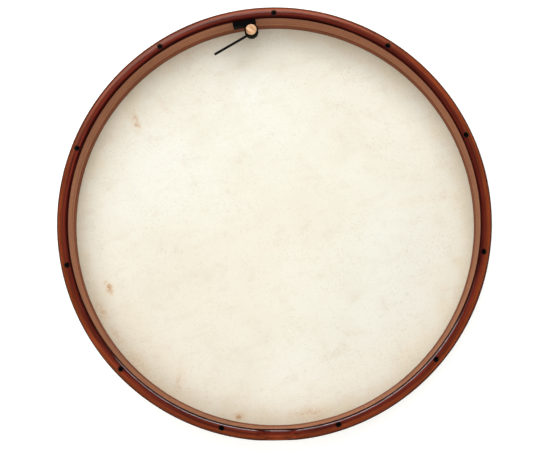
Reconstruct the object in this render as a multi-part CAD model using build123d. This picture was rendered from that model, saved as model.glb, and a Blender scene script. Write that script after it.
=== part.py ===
from build123d import *
import math
import os

# A tunable frame drum. It lies on its skin: the drum's axis is +Z, the skin's outer face is at z = 0 and the
# open rear edge faces up. +Y points to the key holder, and the grip scoop is on the -Y side.

# --- driving dimensions, millimetres and degrees ---

# shell
SHELL_R = 280.0          # outer wall
BORE_R = 265.1           # inner wall, the same on the shell and on the tuning ring
SHELL_TOP = 64.0         # rear edge
REAR_OUTER_ROUND = 5.5
REAR_INNER_ROUND = 4.5
SHOULDER_Z = 21.0        # the shell's step above the tuning ring
LIP_BORE_R = 276.2       # inside of the thin lip that surrounds the tuning ring
LIP_BOTTOM = 2.5
EDGE_ROUND = 0.8         # small roundings along the gap between shell and ring

# grip scoop in the rear edge
SCOOP_DEPTH = 7.0
SCOOP_HALF_LENGTH = 31.0
SCOOP_SWELL = 22.0       # radius of the swell at each end
SCOOP_OFFSET_X = 4.5

# tuning ring
RING_R = 275.9
RING_BOTTOM = 0.9
RING_TOP = 19.1
BEARING_R = 267.6        # the crest that the skin bears on
BEARING_OUTER_ROUND = 12.0

# skin
SKIN_T = 0.8
SKIN_GAP = 0.03          # glue line between the lap and the wall
SKIN_SLOPE = 9.0         # the skin falls back from the bearing edge to the lip
LAP_TOP = 20.0
LIP_BEND = 2.4

# tuning screws, M6, with their inserts and thrust plates
SCREW_COUNT = 11
SCREW_CIRCLE_R = 271.6
FIRST_SCREW = 158.45     # the screws are marked off in equal steps from this one; the last step is wider
SCREW_STEP = 32.39
MARKING_CENTRE_Y = -5.6  # the point the steps are marked off from lies a little off the drum's axis
SCREW_R = 3.0
SCREW_LENGTH = 40.0
SCREW_CHAMFER = 0.6
SOCKET_AF = 3.05
SOCKET_DEPTH = 3.5
MOUTH_R = 3.5
THREAD_CLEARANCE = 0.05
INSERT_R = 4.2
COLLAR_R = 4.5
COLLAR_LENGTH = 2.0
INSERT_LENGTH = 16.0
PRESS_GAP = 0.02
PLATE_R = 3.4
PLATE_T = 1.2
TIP_GAP = 0.05

# tuning key and its holder
KEY_ANGLE = 96.66        # where the knob stands on the wall
KEY_R = 251.6            # the knob's distance from the drum's axis
KNOB_R = 7.0
KNOB_LENGTH = 14.0
KNOB_ROUND = 1.0
ROD_AF = 3.0
ROD_Z = 43.0
ROD_ANGLE = 210.2
ROD_REACH = 56.7
ROD_BEND = 4.0
ROD_IN_KNOB = 10.0
ROD_FIT = 0.01
HOLDER_BOTTOM = 47.5
HOLDER_TOP = 61.0
HOLDER_T = 6.8
HOLDER_LEFT = 5.05       # degrees from the knob to the end of the tab
HOLDER_RIGHT = 1.5
SLEEVE_R = 9.0
SLEEVE_CLEARANCE = 0.08
HOLDER_ROUND = 1.2
HOLDER_SCREW_STEPS = (2.9, 4.2)   # degrees from the knob
HOLDER_SCREW_HEAD_R = 2.4
HOLDER_SCREW_R = 1.25
HOLDER_SCREW_LENGTH = 13.0
HOLDER_SCREW_SINK = 0.3


def save(node, shape):
    """Write one node's solids to its own STEP file."""
    export_step(shape, f"parts/{node}.step")


def screw_place(index):
    """The centre of one tuning screw, found along its step's direction from the marking centre."""
    angle = math.radians(FIRST_SCREW + index * SCREW_STEP)
    across = MARKING_CENTRE_Y * math.sin(angle)
    reach = -across + math.sqrt(across**2 + SCREW_CIRCLE_R**2 - MARKING_CENTRE_Y**2)
    return Vector(reach * math.cos(angle), MARKING_CENTRE_Y + reach * math.sin(angle))


SCREWS = [screw_place(index) for index in range(SCREW_COUNT)]
KEY_CENTRE = Vector(KEY_R, 0).rotate(Axis.Z, KEY_ANGLE)


def upright(centre, radius, low, high):
    """A cylinder parallel to the drum's axis."""
    return Pos(centre.X, centre.Y, low) * Cylinder(
        radius, high - low, align=(Align.CENTER, Align.CENTER, Align.MIN)
    )


def turned(edges):
    """Revolve a closed outline, drawn as radius and height, round the drum's axis."""
    return revolve(Plane.XZ * make_face(Wire(edges)), Axis.Z)


def distance_from_axis(edge):
    """How far from the drum's axis an edge begins."""
    start = edge.position_at(0)
    return math.hypot(start.X, start.Y)


def scoop_cutter():
    """The block above the grip scoop, pushed through the rim: a hollow arc with a tangent swell at each end."""
    low = SHELL_TOP - SCOOP_DEPTH
    both_radii = (SCOOP_HALF_LENGTH**2 + SCOOP_DEPTH**2) / (2 * SCOOP_DEPTH)
    hollow = both_radii - SCOOP_SWELL
    lean = SCOOP_HALF_LENGTH / both_radii
    turn_x = hollow * lean
    turn_z = low + hollow * (1 - math.sqrt(1 - lean**2))
    above = SHELL_TOP + SCOOP_DEPTH
    left = (-SCOOP_HALF_LENGTH, SHELL_TOP)
    right = (SCOOP_HALF_LENGTH, SHELL_TOP)
    side = Wire([
        RadiusArc(left, (-turn_x, turn_z), SCOOP_SWELL),
        ThreePointArc((-turn_x, turn_z), (0, low), (turn_x, turn_z)),
        RadiusArc((turn_x, turn_z), right, SCOOP_SWELL),
        Line(right, (SCOOP_HALF_LENGTH, above)),
        Line((SCOOP_HALF_LENGTH, above), (-SCOOP_HALF_LENGTH, above)),
        Line((-SCOOP_HALF_LENGTH, above), left),
    ])
    length = 2 * (SHELL_R - BORE_R)
    middle = -(SHELL_R + BORE_R) / 2
    return Pos(SCOOP_OFFSET_X, middle, 0) * extrude(Plane.XZ * make_face(side), length, both=True)


def rear_edges(hoop):
    """The two flowing loops round the rear face, scoop included."""
    high = hoop.edges().filter_by(lambda edge: edge.center().Z > SHELL_TOP - SCOOP_DEPTH - 1)
    return high.filter_by(GeomType.LINE, reverse=True)


def shell_outline():
    """Lip, shoulder and walls of the hoop, with its rear corners still square."""
    lip_round = (SHELL_R - LIP_BORE_R) / 2
    lip_z = LIP_BOTTOM + lip_round
    edge_z = SHOULDER_Z + EDGE_ROUND
    return [
        Line((SHELL_R, lip_z), (SHELL_R, SHELL_TOP)),
        Line((SHELL_R, SHELL_TOP), (BORE_R, SHELL_TOP)),
        Line((BORE_R, SHELL_TOP), (BORE_R, edge_z)),
        RadiusArc((BORE_R, edge_z), (BORE_R + EDGE_ROUND, SHOULDER_Z), -EDGE_ROUND),
        Line((BORE_R + EDGE_ROUND, SHOULDER_Z), (LIP_BORE_R, SHOULDER_Z)),
        Line((LIP_BORE_R, SHOULDER_Z), (LIP_BORE_R, lip_z)),
        ThreePointArc((LIP_BORE_R, lip_z), (LIP_BORE_R + lip_round, LIP_BOTTOM), (SHELL_R, lip_z)),
    ]


def build_shell():
    """The outer hoop: lip, shoulder, rounded rear edge, grip scoop and the bores for the screws and inserts."""
    hoop = turned(shell_outline()) - scoop_cutter()
    outer = rear_edges(hoop).filter_by(lambda edge: distance_from_axis(edge) > SCREW_CIRCLE_R)
    hoop = fillet(outer, REAR_OUTER_ROUND)
    inner = rear_edges(hoop).filter_by(lambda edge: abs(distance_from_axis(edge) - BORE_R) < PRESS_GAP)
    hoop = fillet(inner, REAR_INNER_ROUND)
    insert_top = SHOULDER_Z + INSERT_LENGTH
    collar_top = SHOULDER_Z + COLLAR_LENGTH
    for centre in SCREWS:
        hoop -= upright(centre, MOUTH_R, SHOULDER_Z, SHELL_TOP + 1)
        hoop -= upright(centre, INSERT_R + PRESS_GAP, SHOULDER_Z, insert_top)
        hoop -= upright(centre, COLLAR_R + PRESS_GAP, SHOULDER_Z, collar_top)
    for screw in holder_screw_places():
        hoop -= screw * pilot(HOLDER_SCREW_R)
    return hoop


def build_tuning_ring():
    """The inner hoop that the screws push: a bearing edge below, pockets for the thrust plates above."""
    drop = RING_R - BEARING_R
    outer_z = RING_BOTTOM + BEARING_OUTER_ROUND - math.sqrt(BEARING_OUTER_ROUND**2 - drop**2)
    inner = BEARING_R - BORE_R
    ring = turned([
        RadiusArc((BORE_R, RING_BOTTOM + inner), (BEARING_R, RING_BOTTOM), -inner),
        RadiusArc((BEARING_R, RING_BOTTOM), (RING_R, outer_z), -BEARING_OUTER_ROUND),
        Line((RING_R, outer_z), (RING_R, RING_TOP - EDGE_ROUND)),
        RadiusArc((RING_R, RING_TOP - EDGE_ROUND), (RING_R - EDGE_ROUND, RING_TOP), -EDGE_ROUND),
        Line((RING_R - EDGE_ROUND, RING_TOP), (BORE_R + EDGE_ROUND, RING_TOP)),
        RadiusArc((BORE_R + EDGE_ROUND, RING_TOP), (BORE_R, RING_TOP - EDGE_ROUND), -EDGE_ROUND),
        Line((BORE_R, RING_TOP - EDGE_ROUND), (BORE_R, RING_BOTTOM + inner)),
    ])
    for centre in SCREWS:
        ring -= upright(centre, PLATE_R + PRESS_GAP, RING_TOP - PLATE_T, RING_TOP + 1)
    return ring


def build_drumhead():
    """The skin: flat over the drum, a gentle fall past the bearing edge, round the lip and up the outer wall."""
    middle = SKIN_T / 2
    wall = SHELL_R + SKIN_GAP + middle
    slope = math.radians(SKIN_SLOPE)
    crest_bend = RING_BOTTOM + BEARING_OUTER_ROUND - middle
    corner = BEARING_R + crest_bend * math.tan(slope / 2)
    lip = (wall, middle + (wall - corner) * math.tan(slope))
    path = FilletPolyline((0, middle), (corner, middle), lip, (wall, LAP_TOP), radius=[crest_bend, LIP_BEND])
    return revolve(Plane.XZ * trace(path, SKIN_T), Axis.Z)


def build_insert(centre):
    """One threaded insert: a barrel with a collar at the end that the screw's thrust pulls into the wood."""
    barrel = upright(centre, INSERT_R, SHOULDER_Z, SHOULDER_Z + INSERT_LENGTH)
    collar = upright(centre, COLLAR_R, SHOULDER_Z, SHOULDER_Z + COLLAR_LENGTH)
    bore = upright(centre, SCREW_R + THREAD_CLEARANCE, 0, SHELL_TOP)
    return barrel + collar - bore


def build_plate(centre):
    """One steel disc, flush with the back of the tuning ring."""
    return upright(centre, PLATE_R, RING_TOP - PLATE_T, RING_TOP)


def build_screw(centre):
    """One set screw with both ends chamfered and a hexagon socket in its rear end."""
    foot = RING_TOP + TIP_GAP
    head = foot + SCREW_LENGTH
    shank = upright(centre, SCREW_R, foot, head)
    shank = chamfer(shank.edges().filter_by(GeomType.CIRCLE), SCREW_CHAMFER)
    hexagon = RegularPolygon(SOCKET_AF / 2, 6, major_radius=False)
    return shank - Pos(centre.X, centre.Y, head - SOCKET_DEPTH) * extrude(hexagon, SOCKET_DEPTH)


def holder_screw_places():
    """Frames on the holder's tab, facing the drum's axis, one for each wood screw."""
    height = (HOLDER_BOTTOM + HOLDER_TOP) / 2
    face = BORE_R - HOLDER_T
    return [
        Rot(0, 0, KEY_ANGLE + step) * Pos(face, 0, height) * Rot(0, 90, 0) for step in HOLDER_SCREW_STEPS
    ]


def pilot(radius):
    """The hole of one holder screw's shank, in the screw's own frame."""
    return Cylinder(radius, HOLDER_SCREW_LENGTH, align=(Align.CENTER, Align.CENTER, Align.MIN))


def holder_screw():
    """One countersunk wood screw in its own frame: head at the tab's face, point in the wood."""
    head_depth = HOLDER_SCREW_HEAD_R - HOLDER_SCREW_R
    sink = HOLDER_SCREW_SINK
    tip = HOLDER_SCREW_LENGTH - HOLDER_SCREW_R
    outline = Polyline(
        (0, sink),
        (HOLDER_SCREW_HEAD_R, sink),
        (HOLDER_SCREW_R, sink + head_depth),
        (HOLDER_SCREW_R, tip),
        (0, HOLDER_SCREW_LENGTH),
        close=True,
    )
    return revolve(Plane.XZ * make_face(outline), Axis.Z)


def countersink():
    """The hole that one holder screw sits in, from the tab's face inwards."""
    sink = HOLDER_SCREW_SINK
    mouth = Cylinder(HOLDER_SCREW_HEAD_R, sink, align=(Align.CENTER, Align.CENTER, Align.MIN))
    return mouth + holder_screw() + pilot(HOLDER_SCREW_R)


def build_key_holder():
    """A moulded block on the inner wall with a sleeve for the key's knob."""
    height = HOLDER_TOP - HOLDER_BOTTOM
    face = BORE_R - HOLDER_T
    sweep = HOLDER_LEFT + HOLDER_RIGHT
    band = CenterArc((0, 0), BORE_R - PRESS_GAP, KEY_ANGLE - HOLDER_RIGHT, sweep)
    front = CenterArc((0, 0), face, KEY_ANGLE - HOLDER_RIGHT, sweep)
    ends = [Line(band @ 0, front @ 0), Line(band @ 1, front @ 1)]
    tab = extrude(make_face(Wire([band, front] + ends)), height)
    left = tab.edges().filter_by(Axis.Z).sort_by(Axis.X)[:2].sort_by(Axis.Y)[0]
    tab = Pos(0, 0, HOLDER_BOTTOM) * fillet(left, HOLDER_ROUND)
    sleeve = upright(KEY_CENTRE, SLEEVE_R, HOLDER_BOTTOM, HOLDER_TOP)
    bridge = Rot(0, 0, KEY_ANGLE) * Pos(KEY_R, 0, HOLDER_BOTTOM) * Box(
        face - KEY_R + 1, 2 * KNOB_R, height, align=(Align.MIN, Align.CENTER, Align.MIN)
    )
    body = tab + sleeve + bridge
    body -= upright(KEY_CENTRE, KNOB_R + SLEEVE_CLEARANCE, 0, SHELL_TOP)
    for screw in holder_screw_places():
        body -= screw * countersink()
    return body


def build_key_rod():
    """The hexagon rod, bent to an L: the short leg stands in the knob, the long leg points along the wall."""
    reach = Vector(ROD_REACH, 0).rotate(Axis.Z, ROD_ANGLE)
    top = SHELL_TOP - KNOB_LENGTH + ROD_IN_KNOB
    corner = Vector(KEY_CENTRE.X, KEY_CENTRE.Y, ROD_Z)
    path = FilletPolyline(Vector(corner.X, corner.Y, top), corner, corner + reach, radius=ROD_BEND)
    hexagon = Plane(path @ 0, x_dir=reach, z_dir=path % 0) * RegularPolygon(ROD_AF / 2, 6, major_radius=False)
    return sweep(hexagon, path)


def build_key_knob():
    """The turned knob, bored for the rod's short leg."""
    knob = upright(KEY_CENTRE, KNOB_R, SHELL_TOP - KNOB_LENGTH, SHELL_TOP)
    knob = fillet(knob.edges().filter_by(GeomType.CIRCLE), KNOB_ROUND)
    hexagon = RegularPolygon(ROD_AF / 2 + ROD_FIT, 6, major_radius=False)
    socket = Pos(KEY_CENTRE.X, KEY_CENTRE.Y, SHELL_TOP - KNOB_LENGTH) * Rot(0, 0, ROD_ANGLE) * extrude(
        hexagon, ROD_IN_KNOB
    )
    return knob - socket


os.makedirs("parts", exist_ok=True)
save("shell", build_shell())
save("tuning_ring", build_tuning_ring())
save("drumhead", build_drumhead())
save("threaded_inserts", Compound(children=[build_insert(centre) for centre in SCREWS]))
save("thrust_plates", Compound(children=[build_plate(centre) for centre in SCREWS]))
for number, centre in enumerate(SCREWS, start=1):
    save(f"tuning_screw_{number:02d}", build_screw(centre))
save("key_holder", build_key_holder())
save("holder_screws", Compound(children=[place * holder_screw() for place in holder_screw_places()]))
save("key_knob", build_key_knob())
save("key_rod", build_key_rod())
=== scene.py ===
"""The look of a tunable frame drum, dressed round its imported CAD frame.

The drum lies on its skin: its axis is +Z, the skin's outer face is at z = 0 and the
open rear edge faces up. +Y points to the tuning key's holder. Sizes are in metres.
"""

import logging
import math
from collections.abc import Callable, Sequence
from dataclasses import dataclass
from enum import Enum

import bmesh
import bpy
from mathutils import Matrix, Vector


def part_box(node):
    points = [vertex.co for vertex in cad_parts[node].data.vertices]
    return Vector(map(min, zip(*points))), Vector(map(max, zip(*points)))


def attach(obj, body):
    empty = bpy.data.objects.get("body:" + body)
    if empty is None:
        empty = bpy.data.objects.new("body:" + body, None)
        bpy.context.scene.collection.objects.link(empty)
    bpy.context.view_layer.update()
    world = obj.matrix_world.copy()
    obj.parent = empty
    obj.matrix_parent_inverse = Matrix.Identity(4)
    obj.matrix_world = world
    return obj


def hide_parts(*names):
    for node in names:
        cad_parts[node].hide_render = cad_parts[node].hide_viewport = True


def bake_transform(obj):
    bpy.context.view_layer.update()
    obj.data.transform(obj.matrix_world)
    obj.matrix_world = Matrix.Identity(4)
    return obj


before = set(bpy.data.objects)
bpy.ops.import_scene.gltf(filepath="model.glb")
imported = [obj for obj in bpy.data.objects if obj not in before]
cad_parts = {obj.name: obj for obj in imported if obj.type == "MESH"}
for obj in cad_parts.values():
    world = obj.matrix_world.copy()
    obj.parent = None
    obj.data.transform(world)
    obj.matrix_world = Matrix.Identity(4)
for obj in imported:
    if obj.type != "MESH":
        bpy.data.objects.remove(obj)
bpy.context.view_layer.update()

LOG = logging.getLogger("frame_drum")
MM = 0.001

Colour = tuple[float, float, float]
Socket = bpy.types.NodeSocket
Value = Socket | float | tuple[float, ...]
Stops = Sequence[tuple[float, Colour]]


def grey(value: float) -> Colour:
    """Returns the neutral colour of a brightness."""
    return (value, value, value)


# --- finishes ---


class NodeBench:
    """The node tree of one material, with short ways to add and wire its nodes."""

    def __init__(self, name: str) -> None:
        """Starts a material that holds its shader and the object's own coordinates."""
        self.material = bpy.data.materials.new(name)
        self.material.use_nodes = True
        self.tree = self.material.node_tree
        self.shader = self.tree.nodes["Principled BSDF"]
        self.place = self.node("ShaderNodeTexCoord").outputs["Object"]

    def feed(self, socket: Socket, value: Value) -> None:
        """Links a socket to another one, or gives it a number or a colour."""
        if isinstance(value, bpy.types.NodeSocket):
            self.tree.links.new(value, socket)
        elif socket.type == "RGBA":
            socket.default_value = (*value, 1.0)
        else:
            socket.default_value = value

    def node(
        self, kind: str, inputs: dict[str | int, Value] | None = None, **settings: object
    ) -> bpy.types.Node:
        """Adds one node.

        Args:
            kind: the node's Blender type.
            inputs: what its sockets take, by name or number.
            **settings: the node's own options.

        Returns:
            The new node.
        """
        made = self.tree.nodes.new(kind)
        for option, setting in settings.items():
            setattr(made, option, setting)
        for socket, value in (inputs or {}).items():
            self.feed(made.inputs[socket], value)
        return made

    def maths(self, operation: str, a: Value, b: Value = 0.0, clamp: bool = False) -> Socket:
        """Returns the result of one sum on two numbers."""
        made = self.node("ShaderNodeMath", {0: a, 1: b}, operation=operation, use_clamp=clamp)
        return made.outputs[0]

    def noise(
        self, vector: Socket, scale: float, detail: float = 3.0, roughness: float = 0.5,
        distortion: float = 0.0, depth: Socket | None = None,
    ) -> Socket:
        """Adds a noise texture.

        Args:
            vector: where it is read.
            scale: how fine it is.
            detail: how many octaves it has.
            roughness: how strong the finer octaves are.
            distortion: how far it is warped.
            depth: a fourth coordinate, where the pattern needs one.

        Returns:
            The noise, mostly between 0.3 and 0.7.
        """
        made = self.node(
            "ShaderNodeTexNoise",
            {"Vector": vector, "Scale": scale, "Detail": detail, "Roughness": roughness,
             "Distortion": distortion},
            noise_dimensions="3D" if depth is None else "4D",
        )
        if depth is not None:
            self.feed(made.inputs["W"], depth)
        return made.outputs["Fac"]

    def ramp(self, value: Socket, stops: Stops) -> Socket:
        """Adds a colour ramp.

        Args:
            value: what is looked up in it.
            stops: its positions and colours, in order.

        Returns:
            The colour found.
        """
        made = self.node("ShaderNodeValToRGB", {"Fac": value})
        elements = made.color_ramp.elements
        elements[0].position, elements[1].position = stops[0][0], stops[-1][0]
        elements[0].color, elements[1].color = (*stops[0][1], 1.0), (*stops[-1][1], 1.0)
        for position, colour in stops[1:-1]:
            elements.new(position).color = (*colour, 1.0)
        return made.outputs["Color"]

    def step(self, value: Socket, low: float, high: float) -> Socket:
        """Returns 0 below low, 1 above high, and a smooth rise between them."""
        made = self.node(
            "ShaderNodeMapRange", {"Value": value, "From Min": low, "From Max": high},
            interpolation_type="SMOOTHSTEP",
        )
        return made.outputs["Result"]

    def mix(self, share: Value, a: Value, b: Value, mode: str = "MIX") -> Socket:
        """Returns colour a, changed by colour b to the share given."""
        made = self.node(
            "ShaderNodeMix", {0: share, 6: a, 7: b}, data_type="RGBA", blend_type=mode
        )
        return made.outputs[2]

    def mapped(
        self, place: Value = (0.0, 0.0, 0.0), turn: Value = (0.0, 0.0, 0.0), size: Value = (1.0, 1.0, 1.0)
    ) -> Socket:
        """Returns the object's coordinates in a frame that is moved, turned and sized."""
        made = self.node(
            "ShaderNodeMapping",
            {"Vector": self.place, "Location": place, "Rotation": turn, "Scale": size},
            vector_type="TEXTURE",
        )
        return made.outputs["Vector"]

    def reach(self, vector: Socket) -> Socket:
        """Returns how far a point is from the upright axis of the frame it is given in."""
        flat = self.node("ShaderNodeVectorMath", {0: vector, 1: (1.0, 1.0, 0.0)}, operation="MULTIPLY")
        length = self.node("ShaderNodeVectorMath", {0: flat.outputs["Vector"]}, operation="LENGTH")
        return length.outputs["Value"]

    def share(self, value: Value, part: Value) -> Socket:
        """Returns one number times another."""
        return self.maths("MULTIPLY", value, part)

    def relief(self, height: Socket, depth: float, under: Socket | None = None) -> Socket:
        """Turns a pattern into surface relief.

        Args:
            height: the pattern, from 0 to 1.
            depth: how deep it is, in metres.
            under: a coarser relief that this one lies on.

        Returns:
            The normal of the surface.
        """
        made = self.node("ShaderNodeBump", {"Height": height, "Strength": 1.0, "Distance": depth})
        if under is not None:
            self.feed(made.inputs["Normal"], under)
        return made.outputs["Normal"]

    def finish(self, **sockets: Value) -> bpy.types.Material:
        """Feeds the shader and hands the material over.

        Args:
            **sockets: what the shader's sockets take, with underscores for spaces.

        Returns:
            The finished material.
        """
        for name, value in sockets.items():
            self.feed(self.shader.inputs[name.replace("_", " ")], value)
        return self.material


class HoopBench(NodeBench):
    """A bench for wood that is bent round the drum's axis, with its grain along the bend."""

    BEND_RADIUS = 0.272

    def __init__(self, name: str) -> None:
        """Adds the hoop's radius, height and direction to a plain bench."""
        super().__init__(name)
        parts = self.node("ShaderNodeSeparateXYZ", {"Vector": self.place}).outputs
        self.height = parts["Z"]
        squares = [self.share(parts[axis], parts[axis]) for axis in ("X", "Y")]
        self.radius = self.maths("SQRT", self.maths("ADD", *squares))
        self.east = self.maths("DIVIDE", parts["X"], self.radius)
        self.north = self.maths("DIVIDE", parts["Y"], self.radius)

    def grain(self, length: float, width: float, detail: float = 2.0, distortion: float = 0.0) -> Socket:
        """Adds noise that is drawn out along the hoop.

        Args:
            length: how long one streak is.
            width: how wide one streak is.
            detail: how many octaves it has.
            distortion: how far it wanders.

        Returns:
            The noise.
        """
        turns = self.BEND_RADIUS / length
        vector = self.node("ShaderNodeCombineXYZ", {
            "X": self.share(self.east, turns),
            "Y": self.share(self.north, turns),
            "Z": self.share(self.height, 1.0 / width),
        }).outputs["Vector"]
        depth = self.share(self.radius, 1.0 / width)
        return self.noise(vector, 1.0, detail, 0.55, distortion, depth)


@dataclass(frozen=True)
class LacqueredRim:
    """Red-brown stain under gloss lacquer, on plies that differ a little in colour, with painted shade near
    the bore and round the outer corner and painted light on the outer round.
    """

    name: str
    gloss: float = 1.0
    shade: float = 1.0
    mirror: float = 1.5
    inner_radius: float = 0.2651
    outer_radius: float = 0.280
    ply: float = 0.0021
    ply_wander: float = 0.0042
    corner_low: float = 0.0555
    corner_high: float = 0.0625
    corner_width: float = 0.0016

    def plies_and_painted_light(self, bench: HoopBench, across: Socket) -> Socket:
        """Stains the plies, darkest at the bore and brightest near the outer wall: partly the plies' own
        tone, partly painted shade at the bore and the outer edge and painted light on the outer round.

        Args:
            bench: the material's nodes.
            across: how far out from the bore the surface lies.

        Returns:
            The plies' colour, with its painted shade and light.
        """
        span = self.outer_radius - self.inner_radius
        # painted shade towards the bore and the outer edge, painted light on the outer round, laid over the
        # plies' own tone
        return bench.ramp(bench.maths("DIVIDE", across, span, clamp=True), (
            (0.02, (0.018, 0.0010, 0.0006)),
            (0.12, (0.042, 0.0030, 0.0014)),
            (0.20, (0.088, 0.0080, 0.0035)),
            (0.28, (0.132, 0.0150, 0.0060)),
            (0.46, (0.118, 0.0160, 0.0068)),
            (0.60, (0.190, 0.0330, 0.0085)),
            (0.84, (0.240, 0.0450, 0.0115)),
            (0.95, (0.130, 0.0180, 0.0045)),
        ))

    def corner(self, bench: HoopBench) -> Socket:
        """Finds the line of painted shade round the rim's outer corner, a dark band standing in for shade
        there.

        Args:
            bench: the material's nodes.

        Returns:
            1 on the line, falling to 0 on both sides of it.
        """
        above = bench.step(bench.height, self.corner_low, self.corner_low + 0.003)
        over = bench.step(bench.height, self.corner_high, self.corner_high + 0.001)
        line_start = self.outer_radius - self.corner_width
        out = bench.step(bench.radius, line_start - 0.001, line_start)
        return bench.share(bench.share(above, bench.maths("SUBTRACT", 1.0, over)), out)

    def material(self) -> bpy.types.Material:
        """Returns the finished material."""
        bench = HoopBench(self.name)
        wander = bench.share(bench.maths("SUBTRACT", bench.grain(0.09, 0.004), 0.5), self.ply_wander)
        across = bench.maths("SUBTRACT", bench.maths("ADD", bench.radius, wander), self.inner_radius)
        broad = bench.ramp(bench.grain(0.12, 0.0032, 3.0, 0.4), (
            (0.34, grey(0.50 * self.shade)),
            (0.52, grey(0.96 * self.shade)),
            (0.68, grey(1.42 * self.shade)),
        ))
        fine = bench.ramp(bench.grain(0.022, 0.0006, 2.0), (
            (0.36, grey(0.72)), (0.56, grey(1.08)), (0.70, grey(1.22)),
        ))
        pores = bench.step(bench.grain(0.0045, 0.00022, 1.0), 0.60, 0.68)
        stained = bench.mix(1.0, self.plies_and_painted_light(bench, across), broad, "MULTIPLY")
        stained = bench.mix(1.0, stained, fine, "MULTIPLY")
        stained = bench.mix(bench.share(pores, 0.55), stained, (0.020, 0.004, 0.003))
        glue = bench.maths("PINGPONG", bench.maths("DIVIDE", across, self.ply), 0.5)
        glue_line = bench.share(bench.step(glue, 0.46, 0.50), 0.28)
        stained = bench.mix(glue_line, stained, (0.030, 0.006, 0.004))
        # painted shade: a dark line laid round the rim's outer corner
        stained = bench.mix(bench.share(self.corner(bench), 0.90), stained, (0.046, 0.0042, 0.0018))
        rubbed = bench.step(bench.noise(bench.place, 60.0, 4.0), 0.56, 0.72)
        flow = bench.relief(bench.noise(bench.place, 210.0, 2.0), 0.00004)
        return bench.finish(
            Base_Color=stained,
            Roughness=bench.maths("ADD", 0.34, bench.share(rubbed, 0.12)),
            Normal=bench.relief(pores, 0.00003, flow),
            Coat_Normal=flow,
            Coat_Weight=self.gloss,
            Coat_Roughness=0.06,
            Coat_IOR=1.45,
            Specular_IOR_Level=0.10,
            IOR=self.mirror,
        )


@dataclass(frozen=True)
class BareHoop:
    """Open-pored wood with a thin matte stain, bent round the drum."""

    name: str
    light: Colour
    dark: Colour
    pore: Colour = (0.085, 0.030, 0.015)
    roughness: float = 0.62

    def material(self) -> bpy.types.Material:
        """Returns the finished material."""
        bench = HoopBench(self.name)
        broad = bench.step(bench.grain(0.16, 0.0045, 3.0, 0.5), 0.34, 0.68)
        wood = bench.mix(broad, self.dark, self.light)
        fine = bench.ramp(bench.grain(0.030, 0.0007, 2.0), (
            (0.34, grey(0.80)), (0.54, grey(1.0)), (0.70, grey(1.14)),
        ))
        wood = bench.mix(1.0, wood, fine, "MULTIPLY")
        pores = bench.step(bench.grain(0.0050, 0.00026, 1.0), 0.58, 0.67)
        wood = bench.mix(bench.share(pores, 0.50), wood, self.pore)
        cloud = bench.ramp(bench.noise(bench.place, 9.0, 3.0), (
            (0.30, grey(0.86)), (0.70, grey(1.10)),
        ))
        wood = bench.mix(1.0, wood, cloud, "MULTIPLY")
        return bench.finish(
            Base_Color=wood,
            Roughness=bench.maths("ADD", self.roughness, bench.share(pores, 0.15)),
            Normal=bench.relief(pores, -0.00006, bench.relief(bench.grain(0.030, 0.0007), 0.00003)),
            Specular_IOR_Level=0.16,
        )


@dataclass(frozen=True)
class SkinMark:
    """One natural mark on the skin: where it is, how large, and how strong."""

    x: float
    y: float
    length: float
    width: float
    turn: float
    strength: float


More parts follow.
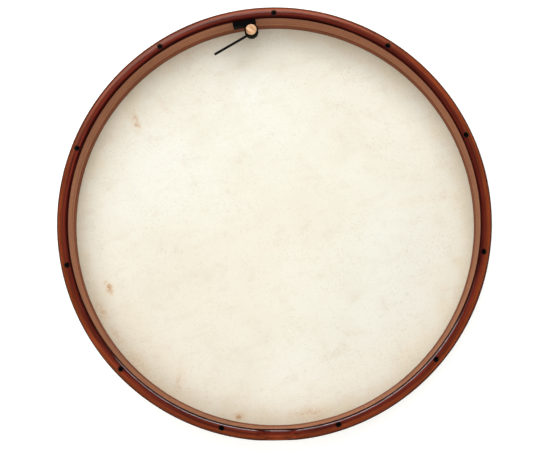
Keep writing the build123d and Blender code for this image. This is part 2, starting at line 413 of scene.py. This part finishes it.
@dataclass(frozen=True)
class Goatskin:
    """Untreated goatskin: cream, cloudy, with pores, follicle specks and a few brown stains."""

    stains: tuple[SkinMark, ...] = (
        SkinMark(-0.188, 0.140, 0.022, 0.008, 112.0, 0.75),
        SkinMark(-0.153, 0.165, 0.028, 0.007, 125.0, 0.30),
        SkinMark(-0.221, -0.084, 0.013, 0.007, 118.0, 1.00),
        SkinMark(-0.232, -0.116, 0.022, 0.011, 116.0, 0.70),
        SkinMark(-0.210, -0.147, 0.018, 0.009, 130.0, 0.55),
        SkinMark(-0.181, -0.184, 0.030, 0.016, 132.0, 0.42),
        SkinMark(-0.126, -0.208, 0.026, 0.009, 75.0, 0.50),
        SkinMark(-0.048, -0.254, 0.010, 0.008, 10.0, 0.90),
        SkinMark(0.046, -0.250, 0.034, 0.011, 5.0, 0.55),
        SkinMark(-0.105, 0.240, 0.060, 0.014, 22.0, 0.30),
        SkinMark(0.002, -0.027, 0.020, 0.012, 0.0, 0.16),
        SkinMark(0.200, 0.034, 0.070, 0.010, 10.0, 0.20),
    )
    warm_back: SkinMark = SkinMark(-0.070, -0.080, 0.330, 0.150, 38.0, 0.55)
    cool_side: SkinMark = SkinMark(0.190, -0.070, 0.210, 0.130, 60.0, 0.60)

    def patch(self, bench: NodeBench, mark: SkinMark) -> Socket:
        """Returns 1 in the middle of a mark, falling to 0 at its edge."""
        vector = bench.mapped(
            (mark.x, mark.y, 0.0), (0.0, 0.0, math.radians(mark.turn)), (mark.length, mark.width, 1.0)
        )
        return bench.maths("SUBTRACT", 1.0, bench.step(bench.reach(vector), 0.1, 1.25))

    def material(self) -> bpy.types.Material:
        """Returns the finished material."""
        bench = NodeBench("natural_goatskin")
        cloud = bench.noise(bench.place, 11.0, 4.0, 0.55, 0.6)
        skin = bench.ramp(cloud, (
            (0.32, (0.738, 0.715, 0.605)),
            (0.50, (0.772, 0.760, 0.662)),
            (0.68, (0.788, 0.787, 0.706)),
        ))
        warm = bench.share(self.patch(bench, self.warm_back), self.warm_back.strength)
        skin = bench.mix(warm, skin, (0.742, 0.692, 0.560))
        cool = bench.share(self.patch(bench, self.cool_side), self.cool_side.strength)
        skin = bench.mix(cool, skin, (0.732, 0.728, 0.640))
        drawn_out = bench.mapped(turn=(0.0, 0.0, 0.30), size=(0.045, 0.014, 1.0))
        streaks = bench.step(bench.noise(drawn_out, 1.0, 5.0, 0.65, 0.3), 0.50, 0.72)
        skin = bench.mix(bench.share(streaks, 0.22), skin, (0.640, 0.560, 0.430))
        skin = self.painted_edge_shade(bench, skin)
        skin = self.stained(bench, skin)
        blush = bench.step(bench.noise(bench.place, 38.0, 5.0, 0.62, 0.4), 0.52, 0.70)
        skin = bench.mix(bench.share(blush, 0.20), skin, (0.610, 0.520, 0.400))
        freckles = bench.step(bench.noise(bench.place, 260.0, 5.0, 0.75), 0.54, 0.70)
        skin = bench.mix(bench.share(freckles, 0.30), skin, (0.500, 0.420, 0.290))
        specks = bench.node(
            "ShaderNodeTexVoronoi", {"Vector": bench.place, "Scale": 260.0, "Randomness": 1.0}
        ).outputs["Distance"]
        hairy = bench.step(bench.noise(bench.place, 15.0, 4.0, 0.6), 0.44, 0.62)
        dots = bench.share(bench.maths("SUBTRACT", 1.0, bench.step(specks, 0.06, 0.34)), hairy)
        skin = bench.mix(bench.share(dots, 0.24), skin, (0.330, 0.230, 0.130))
        pores = bench.noise(bench.place, 900.0, 3.0, 0.6)
        uneven = bench.relief(bench.noise(bench.place, 6.0, 2.0), 0.0016)
        veins = bench.relief(bench.noise(bench.place, 70.0, 5.0, 0.6, 1.2), 0.00022, uneven)
        return bench.finish(
            Base_Color=skin,
            Roughness=bench.maths("ADD", 0.46, bench.share(pores, 0.18)),
            Normal=bench.relief(pores, 0.00005, veins),
            Specular_IOR_Level=0.32,
            Sheen_Weight=0.06,
            Sheen_Roughness=0.4,
        )

    def painted_edge_shade(self, bench: NodeBench, skin: Socket) -> Socket:
        """Yellows and darkens the skin towards the ring: painted shade and warm bounce light from the
        shell's wall.

        Args:
            bench: the material's nodes.
            skin: the skin's colour so far.

        Returns:
            The colour with its painted edge shade.
        """
        wander = bench.maths("SUBTRACT", bench.noise(bench.place, 22.0, 5.0, 0.65), 0.5)
        away = bench.maths("ADD", bench.reach(bench.place), bench.share(wander, 0.075))
        # painted shade: the skin is darkened and yellowed towards the shell's wall, standing in for shade
        # and warm bounce light there
        skin = bench.mix(bench.step(away, 0.195, 0.262), skin, (0.998, 0.985, 0.950), "MULTIPLY")
        return bench.mix(bench.step(away, 0.238, 0.272), skin, (0.980, 0.935, 0.860), "MULTIPLY")

    def stained(self, bench: NodeBench, skin: Socket) -> Socket:
        """Lays the brown stains over the skin's colour.

        Args:
            bench: the material's nodes.
            skin: the skin's colour so far.

        Returns:
            The colour with its stains.
        """
        ragged = bench.step(bench.noise(bench.place, 150.0, 5.0, 0.7, 0.8), 0.40, 0.62)
        veiled = bench.maths("ADD", bench.share(ragged, 0.72), 0.28)
        total: Socket | None = None
        for mark in self.stains:
            share = bench.share(self.patch(bench, mark), mark.strength)
            total = share if total is None else bench.maths("MAXIMUM", total, share)
        share = bench.share(total, veiled)
        brown = bench.ramp(share, (
            (0.0, (0.74, 0.60, 0.42)), (0.6, (0.60, 0.38, 0.20)), (1.0, (0.46, 0.24, 0.10)),
        ))
        return bench.mix(share, skin, brown)


@dataclass(frozen=True)
class BlackOxide:
    """Blackened steel, rubbed a little brighter on its high spots."""

    name: str = "black_oxide_steel"
    dark: Colour = (0.016, 0.016, 0.018)
    rubbed: Colour = (0.070, 0.070, 0.075)

    def material(self) -> bpy.types.Material:
        """Returns the finished material."""
        bench = NodeBench(self.name)
        worn = bench.step(bench.noise(bench.place, 420.0, 4.0, 0.6), 0.52, 0.72)
        lines = bench.noise(bench.mapped(size=(0.012, 0.012, 0.0006)), 1.0, 3.0)
        return bench.finish(
            Base_Color=bench.mix(worn, self.dark, self.rubbed),
            Metallic=0.85,
            Roughness=bench.maths("ADD", 0.34, bench.share(lines, 0.20)),
            Normal=bench.relief(lines, 0.00001),
        )


@dataclass(frozen=True)
class ZincSteel:
    """Zinc-plated steel with a fine turned surface."""

    name: str
    base: Colour = (0.56, 0.57, 0.58)

    def material(self) -> bpy.types.Material:
        """Returns the finished material."""
        bench = NodeBench(self.name)
        spangle = bench.noise(bench.place, 700.0, 3.0)
        tone = bench.ramp(spangle, ((0.35, grey(0.82)), (0.65, grey(1.06))))
        return bench.finish(
            Base_Color=bench.mix(1.0, self.base, tone, "MULTIPLY"),
            Metallic=1.0,
            Roughness=bench.maths("ADD", 0.26, bench.share(spangle, 0.22)),
            Normal=bench.relief(spangle, 0.000012),
        )


@dataclass(frozen=True)
class MouldedRubber:
    """Black rubber, matte from the mould, with a little dust."""

    name: str = "moulded_black_rubber"
    base: Colour = (0.0014, 0.0014, 0.0014)
    dust: Colour = (0.0040, 0.0039, 0.0036)

    def material(self) -> bpy.types.Material:
        """Returns the finished material."""
        bench = NodeBench(self.name)
        dusty = bench.step(bench.noise(bench.place, 130.0, 5.0, 0.65), 0.54, 0.74)
        texture = bench.noise(bench.place, 2600.0, 2.0)
        return bench.finish(
            Base_Color=bench.mix(dusty, self.base, self.dust),
            Roughness=bench.maths("ADD", 0.80, bench.share(dusty, 0.15)),
            Normal=bench.relief(texture, 0.00003),
            IOR=1.2,
        )


@dataclass(frozen=True)
class OiledBeech:
    """Beech with its year rings across the turned face, and short darker rays."""

    x: float
    y: float
    lean: float = -38.0
    ring: float = 0.0021

    def material(self) -> bpy.types.Material:
        """Returns the finished material."""
        bench = NodeBench("oiled_beech")
        turn = (0.0, 0.0, math.radians(self.lean))
        grain = bench.mapped((self.x, self.y, 0.0), turn, (self.ring * 9.0, self.ring, 0.03))
        rings = bench.noise(grain, 1.0, 3.0, 0.6, 0.25)
        wood = bench.ramp(rings, (
            (0.38, (0.300, 0.135, 0.055)),
            (0.46, (0.520, 0.280, 0.135)),
            (0.53, (0.690, 0.430, 0.240)),
            (0.64, (0.740, 0.500, 0.310)),
        ))
        rays = bench.mapped((self.x, self.y, 0.0), turn, (0.0009, 0.00016, 0.0012))
        flecks = bench.step(bench.noise(rays, 1.0, 1.0), 0.60, 0.70)
        wood = bench.mix(bench.share(flecks, 0.45), wood, (0.40, 0.18, 0.07))
        return bench.finish(
            Base_Color=wood,
            Roughness=bench.maths("ADD", 0.40, bench.share(flecks, 0.2)),
            Normal=bench.relief(flecks, -0.00003, bench.relief(rings, 0.00003)),
            Specular_IOR_Level=0.4,
        )


# --- pieces ---


def dress(node: str, material: bpy.types.Material) -> None:
    """Gives a CAD node its finish and reports it."""
    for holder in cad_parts[node].material_slots:
        holder.material = material
    LOG.info("%s: CAD node in %s", node, material.name)


def made_object(name: str, shape: bmesh.types.BMesh) -> bpy.types.Object:
    """Turns a finished bmesh into an object of the scene.

    Args:
        name: the piece's name.
        shape: its mesh, which is freed.

    Returns:
        The new object, at the origin.
    """
    mesh = bpy.data.meshes.new(name)
    shape.to_mesh(mesh)
    shape.free()
    piece = bpy.data.objects.new(name, mesh)
    bpy.context.scene.collection.objects.link(piece)
    return piece


def turned(points: Sequence[tuple[float, float]], steps: int, closed: bool) -> bmesh.types.BMesh:
    """Spins an outline once round the drum's axis.

    Args:
        points: the outline as radius and height.
        steps: how many facets the turned shape has round the axis.
        closed: whether the outline's last point joins its first.

    Returns:
        The turned shape, with its seam and pole merged.
    """
    shape = bmesh.new()
    corners = [shape.verts.new((radius, 0.0, height)) for radius, height in points]
    pairs = list(zip(corners, corners[1:]))
    if closed:
        pairs.append((corners[-1], corners[0]))
    outline = [shape.edges.new(pair) for pair in pairs]
    bmesh.ops.spin(
        shape, geom=corners + outline, cent=(0.0, 0.0, 0.0), axis=(0.0, 0.0, 1.0),
        angle=math.tau, steps=steps, use_merge=True,
    )
    bmesh.ops.remove_doubles(shape, verts=shape.verts, dist=1e-7)
    bmesh.ops.recalc_face_normals(shape, faces=shape.faces)
    return shape


def round_edges(
    shape: bmesh.types.BMesh, chosen: Callable[[bmesh.types.BMEdge], bool], radius: float, segments: int
) -> None:
    """Rounds the edges that a test picks out.

    Args:
        shape: the mesh.
        chosen: the test, true for an edge to be rounded.
        radius: the rounding's radius.
        segments: how many facets the rounding has.
    """
    bmesh.ops.bevel(
        shape, geom=[edge for edge in shape.edges if chosen(edge)], offset=radius,
        offset_type="OFFSET", affect="EDGES", segments=segments, profile=0.5, material=-1,
    )


def radius_of(place: Vector) -> float:
    """Returns how far a point is from the drum's axis."""
    return math.hypot(place.x, place.y)


def ring_edge(radius: float, height: float) -> Callable[[bmesh.types.BMEdge], bool]:
    """Returns the test for the edges of one ring of a turned shape."""
    def on_ring(edge: bmesh.types.BMEdge) -> bool:
        """True where both of an edge's ends lie on the ring."""
        return all(
            abs(radius_of(end.co) - radius) < 1e-5 and abs(end.co.z - height) < 1e-5 for end in edge.verts
        )
    return on_ring


class Region(Enum):
    """The parts of the shell's surface, each with its own finish."""

    LACQUER = 0
    INNER_WALL = 1
    BARE = 2
    INNER_ROUND = 3
    MOUTH = 4


@dataclass
class Shell:
    """The outer hoop, with its rounded rear edge, grip scoop and the screws' bores."""

    body: str = "shell"
    wall_radius: float = 0.280
    bore_radius: float = 0.2651
    lip_bore_radius: float = 0.2762
    lip_bottom: float = 0.0025
    shoulder: float = 0.021
    top: float = 0.064
    outer_round: float = 0.0055
    inner_round: float = 0.0045
    shoulder_round: float = 0.0008
    scoop_depth: float = 0.007
    scoop_half: float = 0.031
    scoop_swell: float = 0.022
    scoop_x: float = 0.0045
    seat_radius: float = 0.00452
    seat_height: float = 0.002
    barrel_radius: float = 0.00422
    barrel_height: float = 0.016
    mouth_radius: float = 0.0035
    mouth_flare: float = 0.0005
    mouth_depth: float = 0.003
    lacquer_slope: float = 0.05
    thin_slope: float = 0.75
    touch: float = 5e-5
    drill_under: float = 0.0002
    drill_over: float = 0.002
    steps: int = 720
    drill_steps: int = 40
    outer_facets: int = 10
    inner_facets: int = 9
    small_facets: int = 4
    wall_cuts: int = 5

    def scoop_drop(self, x: float) -> float:
        """Returns how far the scoop lowers the rim at x: a hollow arc with a swell at each end."""
        away = abs(x - self.scoop_x)
        if away >= self.scoop_half:
            return 0.0
        both = (self.scoop_half**2 + self.scoop_depth**2) / (2.0 * self.scoop_depth)
        hollow = both - self.scoop_swell
        if away > hollow * self.scoop_half / both:
            reach = self.scoop_half - away
            return self.scoop_swell - math.sqrt(self.scoop_swell**2 - reach**2)
        return self.scoop_depth - hollow + math.sqrt(hollow**2 - away**2)

    def hoop(self) -> bmesh.types.BMesh:
        """Turns the hoop, rounds its edges and sinks the scoop.

        Returns:
            The hoop's mesh, without its bores.
        """
        lip_round = 0.49 * (self.wall_radius - self.lip_bore_radius)
        shape = turned((
            (self.wall_radius, self.lip_bottom),
            (self.wall_radius, self.top),
            (self.bore_radius, self.top),
            (self.bore_radius, self.shoulder),
            (self.lip_bore_radius, self.shoulder),
            (self.lip_bore_radius, self.lip_bottom),
        ), self.steps, True)
        for radius, height, rounding, facets in (
            (self.wall_radius, self.top, self.outer_round, self.outer_facets),
            (self.bore_radius, self.top, self.inner_round, self.inner_facets),
            (self.bore_radius, self.shoulder, self.shoulder_round, self.small_facets),
            (self.wall_radius, self.lip_bottom, lip_round, self.small_facets),
            (self.lip_bore_radius, self.lip_bottom, lip_round, self.small_facets),
        ):
            round_edges(shape, ring_edge(radius, height), rounding, facets)
        tall = (self.top - self.shoulder) / 2.0
        walls = [edge for edge in shape.edges if abs(edge.verts[0].co.z - edge.verts[1].co.z) > tall]
        bmesh.ops.subdivide_edges(shape, edges=walls, cuts=self.wall_cuts, use_grid_fill=True)
        still = self.top - 3.0 * self.outer_round
        full = self.top - 1.05 * self.outer_round
        for corner in shape.verts:
            if corner.co.y < 0.0 and corner.co.z > still:
                share = min(1.0, (corner.co.z - still) / (full - still))
                corner.co.z -= share * self.scoop_drop(corner.co.x)
        return shape

    def bores(self, centres: Sequence[Vector]) -> bpy.types.Object:
        """Makes the drill for the screws' mouths and the inserts' seats.

        Args:
            centres: where the screws stand.

        Returns:
            A cutter with one stepped, flared drill for each screw.
        """
        low, high = self.shoulder - self.drill_under, self.top + self.drill_over
        seat, barrel = self.shoulder + self.seat_height, self.shoulder + self.barrel_height
        flared, half_flare = self.mouth_radius + self.mouth_flare, self.mouth_flare / 2.0
        drill = (
            (0.0, low), (self.seat_radius, low), (self.seat_radius, seat),
            (self.barrel_radius, seat), (self.barrel_radius, barrel), (self.mouth_radius, barrel),
            (self.mouth_radius, self.top - half_flare), (flared, self.top + half_flare),
            (flared, high), (0.0, high),
        )
        cutter = bmesh.new()
        for centre in centres:
            one = turned(drill, self.drill_steps, False)
            bmesh.ops.translate(one, verts=one.verts, vec=(centre.x, centre.y, 0.0))
            mesh = bpy.data.meshes.new("drill")
            one.to_mesh(mesh)
            one.free()
            cutter.from_mesh(mesh)
            bpy.data.meshes.remove(mesh)
        return made_object("drills", cutter)

    def in_mouth(self, face: bpy.types.MeshPolygon, centre: Vector) -> bool:
        """Tells whether a face is part of one screw's mouth: near it and turned towards it.

        Args:
            face: the face.
            centre: where the screw stands.

        Returns:
            True for the mouth's wall and chamfer, False for the rim around them.
        """
        aside = centre - face.center
        away = radius_of(aside)
        facing = face.normal.x * aside.x + face.normal.y * aside.y > 0.3 * away
        return facing and away < 1.2 * self.mouth_radius

    def region(self, face: bpy.types.MeshPolygon, centres: Sequence[Vector]) -> Region:
        """Finds the part of the surface that a face belongs to.

        Args:
            face: the face.
            centres: where the screws stand.

        Returns:
            Its region.
        """
        away, height, upward = radius_of(face.center), face.center.z, face.normal.z
        near_top = height > self.top - self.mouth_depth
        if near_top and any(self.in_mouth(face, centre) for centre in centres):
            return Region.MOUTH
        outward = face.normal.x * face.center.x + face.normal.y * face.center.y
        if abs(away - self.bore_radius) < self.touch and height > self.shoulder + 0.9 * self.shoulder_round:
            return Region.INNER_WALL
        if height < self.shoulder + self.shoulder_round and outward < 0.2 * away:
            return Region.BARE
        on_inner_round = away < self.bore_radius + self.inner_round
        if on_inner_round and self.lacquer_slope < upward < self.thin_slope:
            return Region.INNER_ROUND
        on_wall = away > self.wall_radius - 2.0 * self.touch
        return Region.LACQUER if upward > self.lacquer_slope or on_wall else Region.BARE

    def finishes(self) -> dict[Region, LacqueredRim | BareHoop]:
        """Chooses the finish of each region, in the regions' own order."""
        return {
            Region.LACQUER: LacqueredRim("gloss_lacquer_on_mahogany_stain"),
            Region.INNER_WALL: BareHoop("matte_inner_wall", (0.462, 0.178, 0.082), (0.368, 0.128, 0.054)),
            Region.BARE: BareHoop("bare_hoop_wood", (0.330, 0.165, 0.090), (0.215, 0.095, 0.050)),
            # its dark colour comes from the painted shade at the bore in the ply ramp
            Region.INNER_ROUND: LacqueredRim("thin_lacquer_on_dark_edge", 0.05, mirror=1.15),
            # painted shade: the bores' flared mouths are stained nearly black to stand in for the shade
            # inside the holes
            Region.MOUTH: LacqueredRim("painted_shade_in_the_bores", 1.0, 0.06),
        }

    def build(self, centres: Sequence[Vector]) -> None:
        """Makes, drills and dresses the shell.

        Args:
            centres: where the screws stand.
        """
        piece = made_object("shell_hoop", self.hoop())
        cutter = self.bores(centres)
        cut = piece.modifiers.new("bores", "BOOLEAN")
        cut.operation, cut.solver, cut.object = "DIFFERENCE", "EXACT", cutter
        bpy.context.view_layer.update()
        evaluated = piece.evaluated_get(bpy.context.evaluated_depsgraph_get())
        drilled = bpy.data.meshes.new_from_object(evaluated)
        piece.modifiers.clear()
        piece.data = drilled
        bpy.data.objects.remove(cutter)
        drilled.materials.clear()
        for finish in self.finishes().values():
            drilled.materials.append(finish.material())
        for face in drilled.polygons:
            face.material_index = self.region(face, centres).value
            face.use_smooth = True
        drilled.set_sharp_from_angle(angle=math.radians(34.0))
        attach(piece, self.body)
        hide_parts("shell")
        LOG.info("shell_hoop: %d faces", len(drilled.polygons))


@dataclass
class Drumhead:
    """The goatskin: stretched over the tuning ring, round the lip and glued up the shell's wall."""

    thickness: float = 0.0008
    membrane: float = 0.0004
    crest: float = 0.26858
    crest_bend: float = 0.0125
    fall: float = 9.0
    wall: float = 0.28043
    lip_bend: float = 0.0024
    lap_top: float = 0.020
    ring_pitch: float = 0.018
    trim_start: float = 0.012
    trim_depth: float = 0.00055
    pucker: float = 0.00005
    blend_low: float = 0.00045
    blend_high: float = 0.0021
    steps: int = 480

    def outline(self) -> list[tuple[float, float]]:
        """Returns the skin's middle line, from the axis out to the lap's edge."""
        slope = math.radians(self.fall)
        line = [(self.crest * share, self.membrane) for share in (0.0, 0.04, 0.10, 0.18)]
        line += [(self.ring_pitch * count, self.membrane) for count in range(4, 15)]
        lip = self.membrane + (self.wall - self.crest) * math.tan(slope)
        start = self.crest - self.crest_bend * math.tan(slope / 2.0)
        for count in range(7):
            angle = slope * count / 6.0
            line.append((
                start + self.crest_bend * math.sin(angle),
                self.membrane + self.crest_bend * (1.0 - math.cos(angle)),
            ))
        turn = math.pi / 2.0 - slope
        reach = self.lip_bend * math.tan(turn / 2.0)
        centre = (self.wall - self.lip_bend, lip + reach)
        line.append(((line[-1][0] + self.wall) / 2.0, (line[-1][1] + lip) / 2.0))
        for count in range(9):
            angle = slope + turn * count / 8.0
            line.append((
                centre[0] + self.lip_bend * math.sin(angle), centre[1] - self.lip_bend * math.cos(angle)
            ))
        rise = self.lap_top - lip - reach
        line += [(self.wall, lip + reach + rise * count / 6.0) for count in range(1, 7)]
        return line

    def flat_radius(self) -> float:
        """Returns the radius of the round cut that the skin was before it was lapped."""
        line = self.outline()
        return sum(math.dist(a, b) for a, b in zip(line, line[1:]))

    def lift(self, place: Vector) -> float:
        """Finds how far the hand-cut lap is off its true height at one point of the skin.

        Args:
            place: the point.

        Returns:
            The lift, which is downwards along the trimmed edge.
        """
        turn = math.atan2(place.y, place.x)
        if place.z > self.trim_start:
            share = (place.z - self.trim_start) / (self.lap_top - self.trim_start)
            wave = 0.5 * math.sin(3.0 * turn + 0.7) + 0.3 * math.sin(11.0 * turn)
            wave += 0.2 * math.sin(29.0 * turn)
            return share * self.trim_depth * (wave - 1.0)
        if place.z > self.membrane * 1.5 and radius_of(place) > self.wall - 1e-4:
            return self.pucker * math.sin(67.0 * turn + 2.0 * math.sin(5.0 * turn))
        return 0.0

    def build(self) -> None:
        """Makes and dresses the skin."""
        piece = made_object("goatskin_head", turned(self.outline(), self.steps, False))
        for corner in piece.data.vertices:
            corner.co.z += self.lift(corner.co)
        for face in piece.data.polygons:
            face.use_smooth = True
        piece.data.materials.append(Goatskin().material())
        body = piece.modifiers.new("thickness", "SOLIDIFY")
        body.thickness, body.offset, body.use_even_offset = self.thickness, 0.0, True
        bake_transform(piece)
        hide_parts("drumhead")
        flat = 2.0 * self.flat_radius()
        LOG.info("goatskin_head: cut from a round of %.0f mm", flat / MM)


@dataclass
class TuningGear:
    """The tuning ring, its thrust plates, the threaded inserts and the set screws."""

    screw_count: int = 11

    def screws(self) -> list[str]:
        """Returns the names of the tuning screws."""
        return [f"tuning_screw_{number:02d}" for number in range(1, self.screw_count + 1)]

    def centres(self) -> list[Vector]:
        """Returns where the tuning screws stand."""
        return [(low + high) / 2.0 for low, high in map(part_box, self.screws())]

    def build(self) -> None:
        """Dresses the ring and its steel parts."""
        ring = BareHoop("matte_ring_wood", (0.305, 0.086, 0.032), (0.225, 0.056, 0.019))
        dress("tuning_ring", ring.material())
        dress("threaded_inserts", BlackOxide("black_insert_steel").material())
        dress("thrust_plates", ZincSteel("zinc_plate_steel").material())
        steel = BlackOxide("black_screw_steel").material()
        for screw in self.screws():
            dress(screw, steel)


@dataclass
class TuningKey:
    """The hexagon key with its wooden knob, and the rubber holder with its screws."""

    def build(self) -> None:
        """Dresses the key and its holder."""
        low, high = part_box("key_knob")
        middle = (low + high) / 2.0
        dress("key_knob", OiledBeech(middle.x, middle.y).material())
        steel = BlackOxide().material()
        dress("key_rod", steel)
        dress("holder_screws", steel)
        dress("key_holder", MouldedRubber().material())


# --- studio ---


@dataclass
class SoftBox:
    """One soft area light, and whether gloss mirrors it and whether it lights the matte parts."""

    name: str
    place: tuple[float, float, float]
    size: tuple[float, float]
    watts: float
    mirrored: bool = True
    lighting: bool = True
    aim: tuple[float, float, float] = (0.0, 0.0, 0.0)
    beam: float = 180.0
    colour: Colour = (1.0, 1.0, 1.0)

    def build(self) -> None:
        """Hangs the light."""
        lamp = bpy.data.lights.new(self.name, "AREA")
        lamp.shape, lamp.size, lamp.size_y = "RECTANGLE", *self.size
        lamp.energy, lamp.color, lamp.spread = self.watts, self.colour, math.radians(self.beam)
        holder = bpy.data.objects.new(self.name, lamp)
        holder.location = self.place
        holder.rotation_euler = (Vector(self.aim) - Vector(self.place)).to_track_quat("-Z", "Y").to_euler()
        holder.visible_glossy, holder.visible_diffuse = self.mirrored, self.lighting
        bpy.context.scene.collection.objects.link(holder)


@dataclass
class RimStrip:
    """A strip of narrow cool lights bent round the drum, each for the rim's far side."""

    count: int = 11
    start: float = 52.0
    pitch: float = 9.0
    radius: float = 0.75
    height: float = 0.62
    size: tuple[float, float] = (0.12, 0.15)
    watts: float = 0.025
    beam: float = 24.0
    colour: Colour = (0.90, 0.95, 1.0)
    rim_radius: float = 0.27
    rim_height: float = 0.06

    def panels(self) -> list[SoftBox]:
        """Works out the strip's lights.

        Returns:
            The lights, which gloss mirrors and which don't light the matte parts.
        """
        made = []
        for number in range(self.count):
            turn = math.radians(self.start + self.pitch * number)
            east, north = math.cos(turn), math.sin(turn)
            made.append(SoftBox(
                f"rim_light_{number + 1}", (self.radius * east, self.radius * north, self.height),
                self.size, self.watts, lighting=False, beam=self.beam, colour=self.colour,
                aim=(-self.rim_radius * east, -self.rim_radius * north, self.rim_height),
            ))
        return made


@dataclass
class Studio:
    """A pale lit table, soft boxes, a pale room and the camera."""

    camera_place: Vector = Vector((0.03129, -0.11800, 1.57848))
    aim: Vector = Vector((0.00119, -0.00278, 0.032))
    lens: float = 77.52
    sensor: float = 36.0
    table_size: float = 12.0
    table_gap: float = 0.0003
    table_glow: float = 0.28
    walls: Colour = (0.50, 0.497, 0.49)
    dark_ceiling: Colour = (0.012, 0.012, 0.018)
    dark_walls: Colour = (0.08, 0.078, 0.075)
    boxes: tuple[SoftBox, ...] = (
        SoftBox("key_box", (-0.35, 1.10, 1.50), (1.9, 1.1), 13.0),
        SoftBox("overhead_fill", (-0.10, 0.05, 2.3), (3.8, 1.4), 41.0, mirrored=False),
    )

    def table(self) -> None:
        """Lays the pale table that the drum rests on."""
        shape = bmesh.new()
        bmesh.ops.create_grid(shape, x_segments=2, y_segments=2, size=self.table_size / 2.0)
        bmesh.ops.translate(shape, verts=shape.verts, vec=(0.0, 0.0, -self.table_gap))
        table = made_object("studio_table", shape)
        bench = NodeBench("pale_table")
        tone = bench.ramp(bench.noise(bench.place, 3.0, 2.0), ((0.3, grey(0.90)), (0.7, grey(0.93))))
        table.data.materials.append(bench.finish(
            Base_Color=tone, Roughness=0.8, Specular_IOR_Level=0.1,
            Emission_Color=grey(1.0), Emission_Strength=self.table_glow,
        ))
        table.visible_glossy = False

    def room(self) -> None:
        """Lights the room evenly, and gives gloss a darker room to mirror."""
        world = bpy.data.worlds.new("pale_room")
        world.use_nodes = True
        bpy.context.scene.world = world
        tree = world.node_tree
        where = tree.nodes.new("ShaderNodeTexCoord")
        parts = tree.nodes.new("ShaderNodeSeparateXYZ")
        mirrored = tree.nodes.new("ShaderNodeValToRGB")
        low, high = mirrored.color_ramp.elements
        low.position, low.color = 0.10, (*self.dark_walls, 1.0)
        high.position, high.color = 0.80, (*self.dark_ceiling, 1.0)
        ray = tree.nodes.new("ShaderNodeLightPath")
        seen = tree.nodes.new("ShaderNodeMix")
        seen.data_type = "RGBA"
        seen.inputs[6].default_value = (*self.walls, 1.0)
        tree.links.new(where.outputs["Generated"], parts.inputs["Vector"])
        tree.links.new(parts.outputs["Z"], mirrored.inputs["Fac"])
        tree.links.new(ray.outputs["Is Glossy Ray"], seen.inputs[0])
        tree.links.new(mirrored.outputs["Color"], seen.inputs[7])
        tree.links.new(seen.outputs[2], tree.nodes["Background"].inputs["Color"])

    def camera(self) -> None:
        """Sets the camera up over the drum, with +Y upwards in its view."""
        forward = (self.aim - self.camera_place).normalized()
        right = forward.cross(Vector((0.0, 1.0, 0.0))).normalized()
        up = right.cross(forward)
        camera = bpy.data.cameras.new("studio_camera")
        camera.lens, camera.sensor_width = self.lens, self.sensor
        holder = bpy.data.objects.new("studio_camera", camera)
        turn = Matrix((right, up, -forward)).transposed().to_4x4()
        holder.matrix_world = Matrix.Translation(self.camera_place) @ turn
        bpy.context.scene.collection.objects.link(holder)
        bpy.context.scene.camera = holder

    def build(self) -> None:
        """Sets up the table, the lights and the camera."""
        self.table()
        self.room()
        strip = RimStrip().panels()
        for light in (*self.boxes, *strip):
            light.build()
        self.camera()
        bpy.context.scene.view_settings.view_transform = "Standard"
        LOG.info("studio: %d soft boxes and %d rim lights", len(self.boxes), len(strip))


def main() -> None:
    """Builds the drum's pieces in order, and the studio round them."""
    logging.basicConfig(level=logging.INFO, format="%(name)s: %(message)s")
    gear = TuningGear()
    Shell().build(gear.centres())
    Drumhead().build()
    gear.build()
    TuningKey().build()
    Studio().build()


if __name__ == "__main__":
    main()
